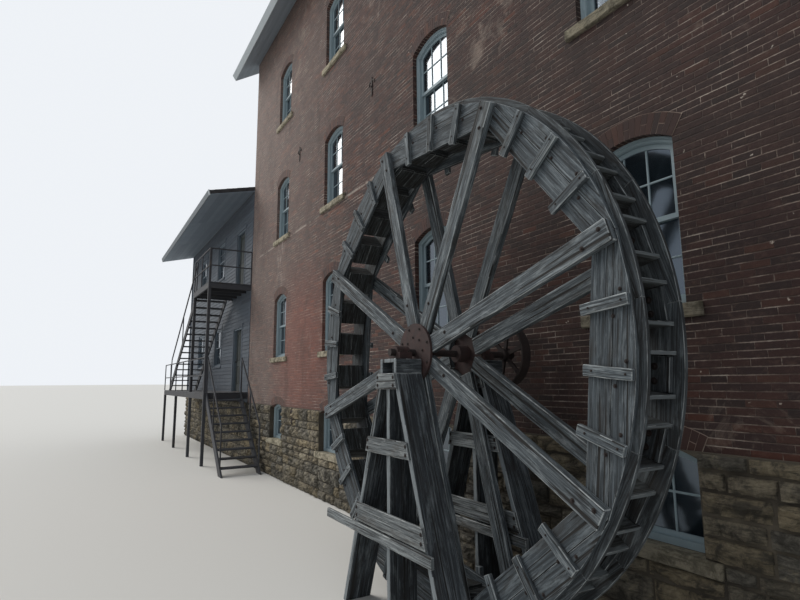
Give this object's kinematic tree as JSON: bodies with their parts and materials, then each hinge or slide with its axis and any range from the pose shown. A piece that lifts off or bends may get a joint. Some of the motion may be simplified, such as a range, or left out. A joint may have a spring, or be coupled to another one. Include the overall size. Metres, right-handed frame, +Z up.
{
  "type": "watermill",
  "caption": "Brick watermill with a gable roof, a wooden water wheel on trestles beside its front wall, and a timber wing with a balcony, deck and outside stairs.",
  "frame": {"origin": "on the ground, in the plane of the river front's outer brick face, half way along the brick building", "axes": "+X along the river front to the right as one faces it, +Y from the river front into the building, +Z up"},
  "size_m": [28.6623, 14.019, 17.2155],
  "materials": {
    "base_stone": "rough coursed rubble stone",
    "wall_brick": "old fired brick with pale mortar",
    "floor_wood": "worn boards",
    "roof_cover": "dark roof covering in courses",
    "roof_boards": "painted boards, weathered",
    "sill_stone": "dressed buff stone",
    "frame_paint": "blue-grey paint, weathered",
    "door_paint": "blue-grey paint",
    "window_glass": "old window glass",
    "wing_siding": "painted lap siding",
    "porch_wood": "painted timber",
    "rusty_iron": "rusty",
    "trestle_wood": "weathered grey timber",
    "wheel_wood": "silver-grey weathered timber"
  },
  "bodies": {
    "mill": {"foundation_front": "base_stone", "foundation_back": "base_stone", "foundation_ends": "base_stone", "front_wall": "wall_brick", "back_wall": "wall_brick", "left_gable_wall": "wall_brick", "right_gable_wall": "wall_brick", "mill_floors": "floor_wood", "front_roof": "roof_cover", "back_roof": "roof_cover", "eave_boards": "roof_boards", "stone_sills": "sill_stone", "window_frames": "frame_paint", "window_sashes": "frame_paint", "window_glass": "window_glass", "wing_foundation": "base_stone", "wing_wall_past_door": "wing_siding", "wing_wall_by_mill": "wing_siding", "wing_wall_over_door": "wing_siding", "wing_back_wall": "wing_siding", "wing_end_wall": "wing_siding", "wing_floors": "floor_wood", "wing_front_roof": "roof_cover", "wing_back_roof": "roof_cover", "door_frames": "frame_paint", "upper_door": "door_paint", "porch_posts": "porch_wood", "balcony": "porch_wood", "porch_rails": "porch_wood", "upper_stair": "porch_wood", "stair_rails": "porch_wood", "deck": "porch_wood", "lower_stair": "porch_wood", "trestles": "trestle_wood", "bearings": "rusty_iron"},
    "wheel": {"shroud_planks": "wheel_wood", "shroud_rims": "wheel_wood", "spokes": "wheel_wood", "cleats": "wheel_wood", "bucket_boards": "wheel_wood", "bucket_blocks": "wheel_wood", "hubs": "rusty_iron", "shaft": "rusty_iron", "pulley": "rusty_iron"},
    "door": {"lower_door": "door_paint"}
  },
  "joints": [
    {"name": "wheel_spin", "type": "hinge", "parent": "mill", "child": "wheel", "pos_m": [3.825, -1.16, 2.73], "axis": [0, 1, 0], "continuous": true},
    {"name": "lower_door_swing", "type": "hinge", "parent": "mill", "child": "door", "pos_m": [-9.4315, 0.13, 3.14], "axis": [0, 0, 1], "range_deg": [-90, 0]}
  ]
}
